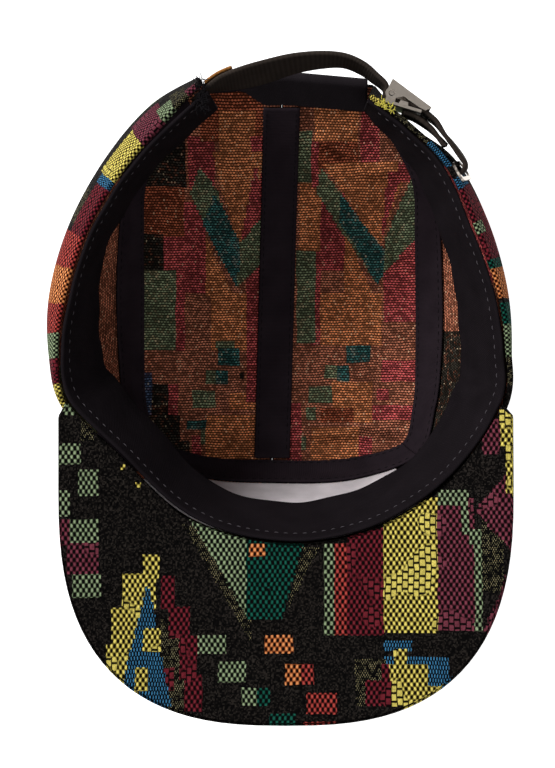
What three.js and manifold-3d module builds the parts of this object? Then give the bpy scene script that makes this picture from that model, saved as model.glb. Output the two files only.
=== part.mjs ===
// A five-panel cap that lies upside down on its crown, built as separate named pieces.
// Millimetres, +Z up. The peak points to -Y, the back strap is at +Y, the wearer's right is +X.
import * as THREE from 'three';
import { mergeVertices } from 'three/addons/utils/BufferGeometryUtils.js';
import Module from 'manifold-3d';

const wasm = await Module();
wasm.setup();

// Driving sizes
const gap = 0.3;
const rimHeight = 105;
const frontDip = 7;
const panelCloth = 1.6;
const tapeCloth = 1.0;
const tapeWidth = 15;
const bandCloth = 1.4;
const bandWidth = 33;
const peakThickness = 3;
const strapThickness = 1.8;
const strapWidth = 21;
const strapTop = 101.5;
const strapMiddle = strapTop - strapWidth / 2;

// Colours
const colours = {
  weave: 0x6b2a2a,
  cloth: 0x1c1a1c,
  backing: 0xb4b2b1,
  steel: 0xb9aa9b,
  tab: 0x96602f,
};

function material(colour, roughness, metalness = 0) {
  return new THREE.MeshStandardMaterial({ color: colour, roughness, metalness });
}

const cap = new THREE.Group();

function addPiece(name, geometry, look, parent = cap) {
  const mesh = new THREE.Mesh(geometry, look);
  mesh.name = name;
  parent.add(mesh);
  return mesh;
}

// Interpolation helpers
function mix(a, b, share) {
  return a + (b - a) * share;
}

function ease(share) {
  const s = Math.min(Math.max(share, 0), 1);
  return s * s * (3 - 2 * s);
}

// Value of a table column at a fractional row, on a smooth curve through the rows
function smoothColumn(rows, column, position) {
  const last = rows.length - 1;
  const t = Math.min(Math.max(position, 0), last);
  const row = Math.min(Math.floor(t), last - 1);
  const f = t - row;
  const value = (k) => rows[Math.min(Math.max(k, 0), last)][column];
  const [a, b, c, d] = [value(row - 1), value(row), value(row + 1), value(row + 2)];
  return b + 0.5 * f * (c - a + f * (2 * a - 5 * b + 4 * c - d + f * (3 * (b - c) + d - a)));
}

// Sections of the crown wall, from the back opening's left end round the front to its right end.
// The hem is at the rim and the seam is where the wall meets the top panels. Belly and shoulder
// say how far the wall is pushed out below the hem and above the seam. The sweatband's sewn edge
// is bandOut inside the wall, and its free edge reaches bandReach further inwards.
const sections = [
  [-29, 116.5, -31, 121, 3, 2, 4.4, 4],
  [-45.5, 99.5, -46, 108, 12, 8, 2.8, 4.6],
  [-61, 80.5, -60, 87, 14, 11, 2, 4.6],
  [-74, 58, -62.5, 62, 16, 19, 2, 5],
  [-82, 33, -62.5, 38, 16, 24, 2, 9],
  [-85, 12, -62.5, 14, 11, 21, 2, 13.8],
  [-82, -7, -61.5, -9, 7, 15, 2, 18],
  [-64, -25.5, -55, -27, 5, 14, 2, 16],
  [-34, -53, -32, -37, 3, 15, 2, 13.4],
  [3, -62.5, -2.5, -39, 2, 15, 2, 13.4],
  [38, -56.5, 31, -38, 3, 15, 2, 13.4],
  [68, -36.5, 57, -29, 5, 14, 2, 13.4],
  [87.5, -8, 63.5, -9, 4, 16, 2, 16.5],
  [88.5, 14, 64.5, 14, 7, 22, 2, 13.8],
  [85, 36, 64.5, 38, 11, 23, 2, 12.4],
  [76.5, 60, 64, 62, 12, 21, 2, 9],
  [65.5, 84, 62, 86, 7.5, 11.5, 2, 7.8],
  [49.5, 100.5, 50, 107, 1, -4, 2, 3.6],
  [35.5, 111, 38.8, 120.6, -2, -9, 2, 1],
].map(([hemX, hemY, seamX, seamY, belly, shoulder, bandOut, bandReach]) => (
  { hemX, hemY, seamX, seamY, belly, shoulder, bandOut, bandReach }
));
const lastSection = sections.length - 1;
const frontCentre = lastSection / 2;
const frontLeft = 7;
const frontRight = 11;
const peakLeft = 6;
const peakRight = 12;
const crownMiddle = { x: 1, y: 25 };

// The crown's resting face is flat, and rises towards its seams and the back opening
const crownForm = { flatHalf: 35, sideReach: 28.5, sideRise: 13.2 };
const frontForm = { start: -25, reach: 14, rise: 9.2 };
const backForm = { start: 42, reach: 81.5, rise: 55.7, power: 2 };

function crownHeight(x, y) {
  const beyondSide = Math.max(0, Math.abs(x - crownMiddle.x) - crownForm.flatHalf);
  const beyondFront = Math.max(0, frontForm.start - y);
  const beyondBack = Math.max(0, y - backForm.start);
  const side = crownForm.sideRise * (beyondSide / crownForm.sideReach) ** 2;
  const front = frontForm.rise * (beyondFront / frontForm.reach) ** 2;
  const back = backForm.rise * (beyondBack / backForm.reach) ** backForm.power;
  return panelCloth / 2 + side + front + back;
}

function crownPoint(x, y) {
  return new THREE.Vector3(x, y, crownHeight(x, y));
}

// The rim dips towards the front, where the arched peak is sewn on
function hemPoint(t) {
  const x = smoothColumn(sections, 'hemX', t);
  const y = smoothColumn(sections, 'hemY', t);
  return new THREE.Vector3(x, y, rimHeight - frontDip * ease((-5 - y) / 57));
}

function seamPoint(t) {
  return crownPoint(smoothColumn(sections, 'seamX', t), smoothColumn(sections, 'seamY', t));
}

// Level direction from a rim or seam curve towards the inside of the cap
function inward(curve, t) {
  const before = curve(Math.max(t - 0.3, 0));
  const after = curve(Math.min(t + 0.3, lastSection));
  return new THREE.Vector3(before.y - after.y, after.x - before.x, 0).normalize();
}

// Middle surface of the crown wall, from the hem at v 0 to the seam at v 1
function wallPoint(t, v) {
  const hem = hemPoint(t);
  const seam = seamPoint(t);
  const out = new THREE.Vector3(hem.x - crownMiddle.x, hem.y - crownMiddle.y, 0).normalize();
  const height = hem.z - seam.z;
  const upper = hem.clone().addScaledVector(out, smoothColumn(sections, 'belly', t));
  const lower = seam.clone().addScaledVector(out, smoothColumn(sections, 'shoulder', t));
  upper.z -= 0.35 * height;
  lower.z += 0.3 * height;
  return new THREE.CubicBezierCurve3(hem, upper, lower, seam).getPoint(v);
}

// Share of the wall's width that a length along it takes
function wallShare(t, length) {
  return length / hemPoint(t).distanceTo(seamPoint(t));
}

// Normal of the surface point(u, v), which points to the inside of the cap
function surfaceNormal(point, u, v) {
  const step = 0.002;
  const along = point(Math.min(u + step, 1), v).sub(point(Math.max(u - step, 0), v));
  const across = point(u, Math.min(v + step, 1)).sub(point(u, Math.max(v - step, 0)));
  return along.cross(across).normalize();
}

// A closed cloth wall round the surface point(u, v), lifted along the surface's normal
function sheet(point, columns, rows, thickness, lift = 0) {
  const positions = [];
  const layer = (columns + 1) * (rows + 1);
  for (const side of [0.5, -0.5]) {
    for (let i = 0; i <= columns; i += 1) {
      for (let j = 0; j <= rows; j += 1) {
        const normal = surfaceNormal(point, i / columns, j / rows);
        const place = point(i / columns, j / rows).addScaledVector(normal, lift + side * thickness);
        positions.push(place.x, place.y, place.z);
      }
    }
  }
  const at = (i, j) => i * (rows + 1) + j;
  const faces = [];
  for (let i = 0; i < columns; i += 1) {
    for (let j = 0; j < rows; j += 1) {
      const [a, b, c, d] = [at(i, j), at(i + 1, j), at(i + 1, j + 1), at(i, j + 1)];
      faces.push(a, b, c, a, c, d);
      faces.push(layer + a, layer + c, layer + b, layer + a, layer + d, layer + c);
    }
  }
  const border = [];
  for (let i = 0; i < columns; i += 1) border.push(at(i, 0));
  for (let j = 0; j < rows; j += 1) border.push(at(columns, j));
  for (let i = columns; i > 0; i -= 1) border.push(at(i, rows));
  for (let j = rows; j > 0; j -= 1) border.push(at(0, j));
  border.forEach((a, k) => {
    const b = border[(k + 1) % border.length];
    faces.push(layer + a, layer + b, b, layer + a, b, a);
  });
  const geometry = new THREE.BufferGeometry();
  geometry.setAttribute('position', new THREE.Float32BufferAttribute(positions, 3));
  geometry.setIndex(faces);
  return geometry;
}

// Joining and cutting
function toSolid(geometry) {
  const bare = geometry.clone();
  bare.deleteAttribute('normal');
  bare.deleteAttribute('uv');
  const merged = mergeVertices(bare, 1e-4);
  return new wasm.Manifold(new wasm.Mesh({
    numProp: 3,
    vertProperties: new Float32Array(merged.attributes.position.array),
    triVerts: new Uint32Array(merged.index.array),
  }));
}

function toGeometry(solid) {
  const mesh = solid.getMesh();
  const geometry = new THREE.BufferGeometry();
  geometry.setAttribute('position', new THREE.BufferAttribute(mesh.vertProperties, 3));
  geometry.setIndex(new THREE.BufferAttribute(mesh.triVerts, 1));
  return geometry;
}

function joined(geometries) {
  return toGeometry(geometries.map(toSolid).reduce((a, b) => a.add(b)));
}

const weaveLook = material(colours.weave, 0.9);
const clothLook = material(colours.cloth, 0.95);
const steelLook = material(colours.steel, 0.3, 1);

// Front and side panels
const seamInset = 0.6;
const ringInset = 1.1;
const sectionStep = 27;
const seamStep = seamInset / sectionStep;
const underPeak = peakThickness + gap + 0.2;

// Depth of a panel's top edge below the rim, under the peak's sewn edge
function hemDrop(t) {
  return underPeak * ease((t - peakLeft + 0.25) * 4) * ease((peakRight + 0.25 - t) * 4);
}

function wallPanel(from, to) {
  return (u, v) => {
    const t = mix(from, to, u);
    return wallPoint(t, mix(wallShare(t, hemDrop(t)), 1 - wallShare(t, ringInset), v));
  };
}

const slotSection = 15.8;
const slotSize = { width: 5.2, height: 23.6, rim: 1.6, plate: 0.9 };

const slotShare = (rimHeight - strapMiddle) / (rimHeight - seamPoint(slotSection).z);
const slotCentre = wallPoint(slotSection, slotShare);
const slotAlong = hemPoint(slotSection - 0.1).sub(hemPoint(slotSection + 0.1)).normalize();

// Point in the slot's frame: s along the wall towards the peak, n outwards from its middle
function slotPoint(s, n) {
  return {
    x: slotCentre.x + s * slotAlong.x - n * slotAlong.y,
    y: slotCentre.y + s * slotAlong.y + n * slotAlong.x,
  };
}

// A round-ended bar through the wall at the slot
function slotBar(width, height) {
  const up = new THREE.Vector3(0, 0, 1);
  const through = new THREE.Vector3().crossVectors(slotAlong, up);
  const half = height / 2 - width / 2;
  const outline = new THREE.Shape();
  outline.absarc(0, half, width / 2, 0, Math.PI);
  outline.absarc(0, -half, width / 2, Math.PI, 2 * Math.PI);
  const depth = 14;
  const bar = new THREE.ExtrudeGeometry(outline, { depth, bevelEnabled: false, curveSegments: 6 });
  bar.translate(0, 0, -depth / 2);
  const basis = new THREE.Matrix4().makeBasis(slotAlong, up, through);
  return bar.applyMatrix4(basis.setPosition(slotCentre));
}

const leftWall = sheet(wallPanel(0, frontLeft - seamStep), 26, 8, panelCloth);
const frontWall = sheet(wallPanel(frontLeft + seamStep, frontRight - seamStep), 16, 7, panelCloth);
const rightWall = sheet(wallPanel(frontRight + seamStep, lastSection), 28, 8, panelCloth);
const slotHole = slotBar(slotSize.width, slotSize.height);
addPiece('side_panel_left', leftWall, weaveLook);
addPiece('front_panel', frontWall, weaveLook);
addPiece('side_panel_right', toGeometry(toSolid(rightWall).subtract(toSolid(slotHole))), weaveLook);

// Top panels, one on each side of the centre seam
const topWidth = 62;
const topLength = 165;
const centreBack = { x: 2, y: 123.5 };
const centreFront = { x: sections[frontCentre].seamX, y: sections[frontCentre].seamY };

function centreX(y) {
  return mix(centreBack.x, centreFront.x, (centreBack.y - y) / (centreBack.y - centreFront.y));
}

// Point of the left or right top panel: v runs from the back to the front, w from the side seam
// to the centre seam
function topPoint(left, v, w) {
  const sideRow = (share) => (left ? share * frontLeft : lastSection - share * frontLeft);
  const frontRow = left ? mix(frontLeft, frontCentre, w) : mix(frontRight, frontCentre, w);
  const [side, back, corner] = [sideRow(v), sideRow(0), sideRow(1)].map(seamPoint);
  const front = seamPoint(frontRow);
  const centreY = side.y + mix(centreBack.y - back.y, centreFront.y - corner.y, v);
  const bow = (axis, centre) => front[axis] - mix(corner[axis], centre, w);
  const x = mix(side.x, centreX(centreY), w) + v ** 3 * bow('x', centreFront.x);
  const y = mix(side.y, centreY, w) + v ** 3 * bow('y', centreFront.y);
  return crownPoint(x, y);
}

// The mesh is closer near the front seam and the side seam, where the panel bends
function topPanel(left) {
  const ends = [seamInset / topLength, 1 - seamInset / topLength];
  const sides = [seamInset / topWidth, 1 - gap / topWidth];
  return (u, w) => {
    const forward = left ? u : 1 - u;
    const v = mix(forward, 1 - (1 - forward) ** 2, 0.5);
    return topPoint(left, mix(...ends, v), mix(...sides, mix(w, w * w, 0.4)));
  };
}

addPiece('top_panel_left', sheet(topPanel(true), 22, 9, panelCloth), weaveLook);
addPiece('top_panel_right', sheet(topPanel(false), 22, 9, panelCloth), weaveLook);

// Peak: its edge is straight at the sides and a full round curve at the front
const peakForm = { x: 3.2, half: 87.4, side: -40, front: 91.6, power: 2.65, end: -12 };

function peakOutline(u) {
  const edge = [new THREE.Vector2(peakForm.x - peakForm.half, peakForm.end)];
  const steps = 48;
  for (let k = 0; k <= steps; k += 1) {
    const angle = Math.PI * (1 + k / steps);
    const [c, s] = [Math.cos(angle), Math.sin(angle)];
    const x = Math.sign(c) * Math.abs(c) ** (2 / peakForm.power);
    const y = Math.abs(s) ** (2 / peakForm.power);
    const place = [peakForm.x + peakForm.half * x, peakForm.side - peakForm.front * y];
    edge.push(new THREE.Vector2(...place));
  }
  edge.push(new THREE.Vector2(peakForm.x + peakForm.half, peakForm.end));
  const lengths = edge.map((place, k) => (k ? place.distanceTo(edge[k - 1]) : 0));
  let left = u * lengths.reduce((a, b) => a + b);
  let k = 1;
  while (k < edge.length - 1 && left > lengths[k]) {
    left -= lengths[k];
    k += 1;
  }
  return edge[k - 1].clone().lerp(edge[k], Math.min(left / lengths[k], 1));
}

// Upper face of the peak's free edge
function peakEdgeHeight(place) {
  const forward = (peakForm.end - place.y) / (peakForm.front - peakForm.side + peakForm.end);
  const arch = frontDip * (1 - ((place.x - peakForm.x) / peakForm.half) ** 2);
  return rimHeight + 1 + 7 * forward - arch;
}

function peakPoint(u, v) {
  const t = mix(peakLeft, peakRight, u);
  const inner = hemPoint(t).addScaledVector(inward(hemPoint, t), panelCloth / 2 + 0.1);
  const outer = peakOutline(u);
  const place = new THREE.Vector3(outer.x, outer.y, peakEdgeHeight(outer));
  const point = inner.lerp(place, v);
  point.z -= peakThickness / 2;
  return point;
}

addPiece('peak', sheet(peakPoint, 28, 7, peakThickness), weaveLook);

// Sweatband, sewn inside the rim and leaning inwards
const bandStart = 0.08;

function bandPoint(u, v) {
  const t = mix(bandStart, lastSection - seamStep, u);
  const reach = smoothColumn(sections, 'bandReach', t);
  const offset = smoothColumn(sections, 'bandOut', t) + v * reach;
  const place = hemPoint(t).addScaledVector(inward(hemPoint, t), offset);
  place.z -= v * Math.sqrt(bandWidth ** 2 - reach ** 2);
  return place;
}

addPiece('sweatband', sheet(bandPoint, 60, 2, bandCloth), clothLook);

// Tapes over the seams, inside the crown
const tapeLift = panelCloth / 2 + gap + tapeCloth / 2 + 0.25;
const tapeSlope = 0.78;
const tapeEnd = 0.03;

// Across the seam between wall and top panel: d is negative on the wall
function acrossSeam(t, d) {
  if (d < 0) return wallPoint(t, 1 - wallShare(t, -d));
  const place = seamPoint(t).addScaledVector(inward(seamPoint, t), d * tapeSlope);
  return crownPoint(place.x, place.y);
}

function ringTape(name, from, to, columns) {
  const point = (u, v) => acrossSeam(mix(from, to, u), (v - 0.5) * tapeWidth);
  addPiece(name, sheet(point, columns, 4, tapeCloth, tapeLift), clothLook);
}

ringTape('seam_tape_left', 0.45, frontLeft - tapeEnd, 20);
ringTape('seam_tape_front', frontLeft + tapeEnd, frontRight - tapeEnd, 16);
ringTape('seam_tape_right', frontRight + tapeEnd, lastSection - 0.45, 20);

function wallTape(name, t) {
  const half = tapeWidth / 2 / sectionStep;
  const top = wallShare(t, underPeak + 2);
  const bottom = 1 - wallShare(t, tapeWidth / 2 + 1);
  const point = (u, v) => wallPoint(t + (u * 2 - 1) * half, mix(top, bottom, v));
  addPiece(name, sheet(point, 3, 7, tapeCloth, tapeLift), clothLook);
}

wallTape('seam_tape_front_left', frontLeft);
wallTape('seam_tape_front_right', frontRight);

const bindingReach = 9;

function centreTapePoint(u, v) {
  const start = centreBack.y - bindingReach - 1;
  const y = mix(start, centreFront.y + tapeSlope * tapeWidth / 2 + 1, u);
  return crownPoint(centreX(y) + (v - 0.5) * tapeWidth, y);
}

addPiece('seam_tape_centre', sheet(centreTapePoint, 28, 2, tapeCloth, tapeLift), clothLook);

// Backing of the front panel
const backingCloth = 1.0;
const backingSections = { from: 7.42, to: 10.58 };

function backingPoint(u, v) {
  const t = mix(backingSections.from, backingSections.to, u);
  return wallPoint(t, mix(0.1, 1 - wallShare(t, tapeWidth / 2 + 1), v));
}

const backingLook = material(colours.backing, 0.95);
addPiece('front_backing', sheet(backingPoint, 12, 5, backingCloth, tapeLift), backingLook);

// Binding folded over the top panels' back edge
const bindingCloth = 1.0;
const bindingLift = panelCloth / 2 + gap + bindingCloth / 2 + 0.1;
const bindingInset = 2.5;
const bindingNarrow = { from: -3, over: 13, share: 0.7 };

function bindingPoint(u, v) {
  const [start, end] = [sections[0], sections[lastSection]];
  const x = mix(start.seamX + bindingInset, end.seamX - bindingInset, u);
  const corner = x < centreBack.x ? start : end;
  const edgeY = mix(centreBack.y, corner.seamY, (x - centreBack.x) / (corner.seamX - centreBack.x));
  const leg = 0.4;
  const narrow = bindingNarrow.share * ease((bindingNarrow.from - x) / bindingNarrow.over);
  const distance = bindingReach * (1 - narrow) * Math.max(0, 1 - v / leg, 1 - (1 - v) / leg);
  const turn = Math.PI * Math.min(Math.max((v - leg) / (1 - 2 * leg), 0), 1);
  const place = crownPoint(x, edgeY - distance);
  const slope = (crownHeight(x, place.y + 0.1) - crownHeight(x, place.y - 0.1)) / 0.2;
  const outwards = new THREE.Vector3(0, 1, slope).normalize();
  const inside = new THREE.Vector3(0, -slope, 1).normalize();
  place.addScaledVector(inside, bindingLift * Math.cos(turn));
  return place.addScaledVector(outwards, bindingLift * Math.sin(turn));
}

addPiece('back_binding', sheet(bindingPoint, 12, 10, bindingCloth), clothLook);

// Clasp: the base lies along the strap, and the lever closes over it about an upright pin
const pinPlace = new THREE.Vector3(44, 112.1, strapMiddle);
const baseAngle = THREE.MathUtils.degToRad(-16.6);
const leverAngle = THREE.MathUtils.degToRad(-36.6);
const pinRadius = 0.85;
const holeRadius = 1.2;
const baseSheet = 0.8;
const leverSheet = 0.9;
const strapDrop = pinRadius + 0.25 + strapThickness / 2;
const baseDrop = strapDrop + strapThickness / 2 + 0.25;
const baseEar = strapWidth / 2 + gap;
const leverEar = baseEar + baseSheet + gap;

// Point in the base's frame: s along the strap's run through the clasp, n outwards from the pin
function claspPoint(s, n) {
  return {
    x: pinPlace.x + s * Math.cos(baseAngle) - n * Math.sin(baseAngle),
    y: pinPlace.y + s * Math.sin(baseAngle) + n * Math.cos(baseAngle),
  };
}

// A flat plate cut from sheet, between two heights, with an optional pin hole
function plate(outline, bottom, thickness, hole = true) {
  if (hole) outline.holes.push(new THREE.Path().absarc(0, 0, holeRadius, 0, 2 * Math.PI));
  const form = { depth: thickness, bevelEnabled: false, curveSegments: 10 };
  return new THREE.ExtrudeGeometry(outline, form).translate(0, 0, bottom);
}

function block(x0, x1, y0, y1, halfHeight) {
  const box = new THREE.BoxGeometry(x1 - x0, y1 - y0, 2 * halfHeight);
  return box.translate((x0 + x1) / 2, (y0 + y1) / 2, 0);
}

const leverForm = { left: -3, right: 15.7, top: 4.71, plateStart: 3, earRadius: 2.4 };

function leverEarOutline() {
  const outline = new THREE.Shape();
  outline.moveTo(leverForm.left, leverForm.top);
  outline.lineTo(leverForm.right, leverForm.top);
  outline.lineTo(14.5, 2.4);
  outline.lineTo(12.2, 1.9);
  outline.lineTo(4.5, 1.7);
  outline.absarc(0, 0, leverForm.earRadius, -0.3, -Math.PI - 0.3, true);
  outline.closePath();
  return outline;
}

const baseForm = { left: -1.5, right: 13, earRadius: 1.9, tabStart: 3.7, tabEnd: 7.5 };

function baseEarOutline() {
  const floor = -baseDrop - baseSheet;
  const lip = -baseDrop + 0.3;
  const outline = new THREE.Shape();
  outline.absarc(0, 0, baseForm.earRadius, Math.PI, 0, true);
  outline.lineTo(baseForm.earRadius + 0.3, lip);
  outline.lineTo(baseForm.tabStart, lip);
  outline.lineTo(baseForm.tabStart + 0.4, -1.5);
  outline.lineTo(baseForm.tabEnd - 0.4, -1.5);
  outline.lineTo(baseForm.tabEnd, lip);
  outline.lineTo(baseForm.right, lip);
  outline.lineTo(baseForm.right, floor);
  outline.lineTo(baseForm.left, floor);
  outline.closePath();
  return outline;
}

const leverGroup = new THREE.Group();
leverGroup.position.copy(pinPlace);
leverGroup.rotation.z = leverAngle;
cap.add(leverGroup);

const baseGroup = new THREE.Group();
baseGroup.position.copy(pinPlace);
baseGroup.rotation.z = baseAngle;
cap.add(baseGroup);

const leverPlateEdge = leverForm.top - leverSheet;
const leverHalf = leverEar + leverSheet;
const leverPlate = block(leverForm.plateStart, leverForm.right, leverPlateEdge, leverForm.top, leverHalf);
addPiece('clasp_lever', joined([
  leverPlate,
  plate(leverEarOutline(), leverEar, leverSheet),
  plate(leverEarOutline(), -leverHalf, leverSheet),
]), steelLook, leverGroup);

const baseHalf = baseEar + baseSheet;
const basePlate = block(baseForm.left, baseForm.right, -baseDrop - baseSheet, -baseDrop, baseHalf);
addPiece('clasp_base', joined([
  basePlate,
  plate(baseEarOutline(), baseEar, baseSheet),
  plate(baseEarOutline(), -baseHalf, baseSheet),
]), steelLook, baseGroup);

const pin = new THREE.CylinderGeometry(pinRadius, pinRadius, 2 * leverHalf + 0.6, 12);
addPiece('clasp_pin', pin.rotateX(Math.PI / 2), steelLook, baseGroup);

// Strap: from inside the left panel's end, round the gap, through the clasp and to the slot.
// The rows give its middle, and lean is how far its lower edge stands out beyond its upper edge.
const strapRows = [
  { x: -33, y: 109.2, lean: 0 },
  { x: -27.5, y: 114.4, lean: 0 },
  { x: -21.5, y: 117.3, lean: -3 },
  { x: -14, y: 119.2, lean: -5.5 },
  { x: -5, y: 121.6, lean: -6 },
  { x: 6, y: 124.7, lean: -4.8 },
  { x: 17, y: 126.2, lean: -3.5 },
  { x: 26, y: 125.9, lean: -2.3 },
  { x: 33.2, y: 122.9, lean: -1.8 },
  { x: 38.3, y: 118.9, lean: -1 },
  { x: 41.2, y: 116.5, lean: -0.5 },
  { ...claspPoint(-2.4, 1.9), lean: 0 },
  { ...claspPoint(-2.1, -0.3), lean: 0 },
  { ...claspPoint(-0.6, -strapDrop), lean: 0 },
  { ...claspPoint(5, -strapDrop), lean: 0 },
  { ...claspPoint(10, -strapDrop), lean: 0 },
  { ...claspPoint(13, -strapDrop - 0.15), lean: 0 },
  { ...claspPoint(16, -strapDrop - 1.2), lean: 0.3 },
  { x: 61.9, y: 101.6, lean: 1 },
  { x: 65.2, y: 97, lean: 2 },
  { ...slotPoint(-10.5, 2.8), lean: 2.6 },
  { ...slotPoint(-5, 3.5), lean: 2.8 },
  { ...slotPoint(-1.7, 3.5), lean: 2 },
  { ...slotPoint(0, 1.9), lean: 0.6 },
  { ...slotPoint(0.5, 0.3), lean: 0 },
  { ...slotPoint(0.6, -1.3), lean: 0 },
];

// Point of a strap's middle surface: v runs down from the upper edge
function strapPoint(rows, from, to, width) {
  return (u, v) => {
    const row = mix(from, to, u);
    const before = row - 0.1;
    const after = row + 0.1;
    const dx = smoothColumn(rows, 'x', after) - smoothColumn(rows, 'x', before);
    const dy = smoothColumn(rows, 'y', after) - smoothColumn(rows, 'y', before);
    const out = new THREE.Vector3(-dy, dx, 0).normalize();
    const place = new THREE.Vector3(smoothColumn(rows, 'x', row), smoothColumn(rows, 'y', row), 0);
    place.addScaledVector(out, (v - 0.5) * smoothColumn(rows, 'lean', row));
    place.z = strapMiddle + (0.5 - v) * width;
    return place;
  };
}

const strapLook = material(0x23201c, 0.9);
const strapEnd = strapRows.length - 1;
addPiece('strap', sheet(strapPoint(strapRows, 0, strapEnd, strapWidth), 84, 1, strapThickness), strapLook);

// Short strap that holds the clasp's base to the side panel
const holderThickness = 2;
const holderDrop = baseDrop + baseSheet + 0.25 + holderThickness / 2;
const holderRows = [
  { ...claspPoint(6, -holderDrop), lean: 0 },
  { ...claspPoint(9, -holderDrop), lean: 0 },
  { ...claspPoint(12, -holderDrop - 0.3), lean: 0 },
  { x: 59.2, y: 99.7, lean: 0.6 },
  { x: 62.6, y: 96.1, lean: 1.6 },
  { x: 65.7, y: 92.4, lean: 2.4 },
];
const holderRun = strapPoint(holderRows, 0, holderRows.length - 1, strapWidth - 5);
addPiece('clasp_holder', sheet(holderRun, 10, 1, holderThickness), strapLook);

// Plain tab on the outside of the strap's left end
const tabThickness = 1.2;
const tabRun = strapPoint(strapRows, 1.12, 2.7, strapWidth - 4);
const tabLift = strapThickness / 2 + gap + 0.3 + tabThickness / 2;
addPiece('strap_tab', sheet(tabRun, 5, 1, tabThickness, tabLift), material(colours.tab, 0.7));

// Metal rim of the slot in the right side panel
function rimPatch(u, v) {
  const t = slotSection + (u * 2 - 1) * 0.32;
  return wallPoint(t, wallShare(t, mix(0, 32, v)));
}

const rimLift = -(panelCloth / 2 + gap + slotSize.plate / 2);
const rimSheet = toSolid(sheet(rimPatch, 6, 8, slotSize.plate, rimLift));
const rimOutline = slotBar(slotSize.width + 2 * slotSize.rim, slotSize.height + 2 * slotSize.rim);
const rimSolid = rimSheet.intersect(toSolid(rimOutline)).subtract(toSolid(slotHole));
addPiece('slot_rim', toGeometry(rimSolid), steelLook);

// The origin is under the middle of the whole cap, on the surface that it rests on
const extent = new THREE.Box3().setFromObject(cap, true);
const centre = extent.getCenter(new THREE.Vector3());
cap.position.set(-centre.x, -centre.y, -extent.min.z);

export default cap;
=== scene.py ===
# A five-panel cap that lies upside down on its crown, seen from inside.
# Tables and surface functions are in millimetres, in the part's own design frame.
import math

import bpy
import numpy as np
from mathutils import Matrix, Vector


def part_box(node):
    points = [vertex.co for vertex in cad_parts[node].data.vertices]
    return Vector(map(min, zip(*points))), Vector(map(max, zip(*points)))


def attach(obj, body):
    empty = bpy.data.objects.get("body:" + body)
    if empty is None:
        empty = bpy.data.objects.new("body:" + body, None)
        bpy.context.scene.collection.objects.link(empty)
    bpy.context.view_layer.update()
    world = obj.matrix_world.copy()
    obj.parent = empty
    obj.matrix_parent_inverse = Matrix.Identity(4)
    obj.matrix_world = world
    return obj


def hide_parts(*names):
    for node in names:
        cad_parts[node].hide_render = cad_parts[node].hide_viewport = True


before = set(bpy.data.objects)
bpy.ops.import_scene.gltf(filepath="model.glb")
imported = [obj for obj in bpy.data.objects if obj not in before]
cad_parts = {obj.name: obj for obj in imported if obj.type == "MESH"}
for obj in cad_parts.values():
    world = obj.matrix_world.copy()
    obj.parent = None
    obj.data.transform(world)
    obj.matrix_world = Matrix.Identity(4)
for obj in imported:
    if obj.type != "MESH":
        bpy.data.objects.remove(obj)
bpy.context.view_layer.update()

# Sizes
gap = 0.3
rim_height = 105
front_dip = 7
panel_cloth = 1.6
tape_cloth = 1.0
tape_width = 15
band_cloth = 1.4
band_width = 33
peak_thickness = 3
strap_thickness = 1.8
strap_width = 21
strap_top = 101.5
strap_middle = strap_top - strap_width / 2
pin_place = (44, 112.1)
base_angle = math.radians(-16.6)

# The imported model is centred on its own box, so the design frame is shifted to it
pin_low, pin_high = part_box("clasp_pin")
shift = np.array([
    (pin_low[0] + pin_high[0]) * 500 - pin_place[0],
    (pin_low[1] + pin_high[1]) * 500 - pin_place[1],
    (pin_low[2] + pin_high[2]) * 500 - strap_middle,
])


def metres(points):
    return (np.asarray(points, float) + shift) / 1000


# Interpolation
def mix(a, b, share):
    return a + (b - a) * share


def ease(share):
    s = np.clip(share, 0, 1)
    return s * s * (3 - 2 * s)


def stack(x, y, z):
    return np.stack(np.broadcast_arrays(x, y, z), axis=-1).astype(float)


def unit(vectors):
    return vectors / np.maximum(np.linalg.norm(vectors, axis=-1, keepdims=True), 1e-12)


def table(names, rows):
    return {name: np.array([row[k] for row in rows], float) for k, name in enumerate(names)}


def smooth(values, position):
    last = len(values) - 1
    t = np.clip(position, 0, last)
    row = np.minimum(np.floor(t).astype(int), last - 1)
    f = t - row
    a, b, c, d = (values[np.clip(row + k, 0, last)] for k in (-1, 0, 1, 2))
    return b + 0.5 * f * (c - a + f * (2 * a - 5 * b + 4 * c - d + f * (3 * (b - c) + d - a)))


# Sections of the crown wall, from the back opening's left end round the front to its right end
sections = table(("hem_x", "hem_y", "seam_x", "seam_y", "belly", "shoulder", "band_out", "band_reach"), [
    (-29, 116.5, -31, 121, 3, 2, 4.4, 4),
    (-45.5, 99.5, -46, 108, 12, 8, 2.8, 4.6),
    (-61, 80.5, -60, 87, 14, 11, 2, 4.6),
    (-74, 58, -62.5, 62, 16, 19, 2, 5),
    (-82, 33, -62.5, 38, 16, 24, 2, 9),
    (-85, 12, -62.5, 14, 11, 21, 2, 13.8),
    (-82, -7, -61.5, -9, 7, 15, 2, 18),
    (-64, -25.5, -55, -27, 5, 14, 2, 16),
    (-34, -53, -32, -37, 3, 15, 2, 13.4),
    (3, -62.5, -2.5, -39, 2, 15, 2, 13.4),
    (38, -56.5, 31, -38, 3, 15, 2, 13.4),
    (68, -36.5, 57, -29, 5, 14, 2, 13.4),
    (87.5, -8, 63.5, -9, 4, 16, 2, 16.5),
    (88.5, 14, 64.5, 14, 7, 22, 2, 13.8),
    (85, 36, 64.5, 38, 11, 23, 2, 12.4),
    (76.5, 60, 64, 62, 12, 21, 2, 9),
    (65.5, 84, 62, 86, 7.5, 11.5, 2, 7.8),
    (49.5, 100.5, 50, 107, 1, -4, 2, 3.6),
    (35.5, 111, 38.8, 120.6, -2, -9, 2, 1),
])
last_section = 18
front_centre = 9
front_left = 7
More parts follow.
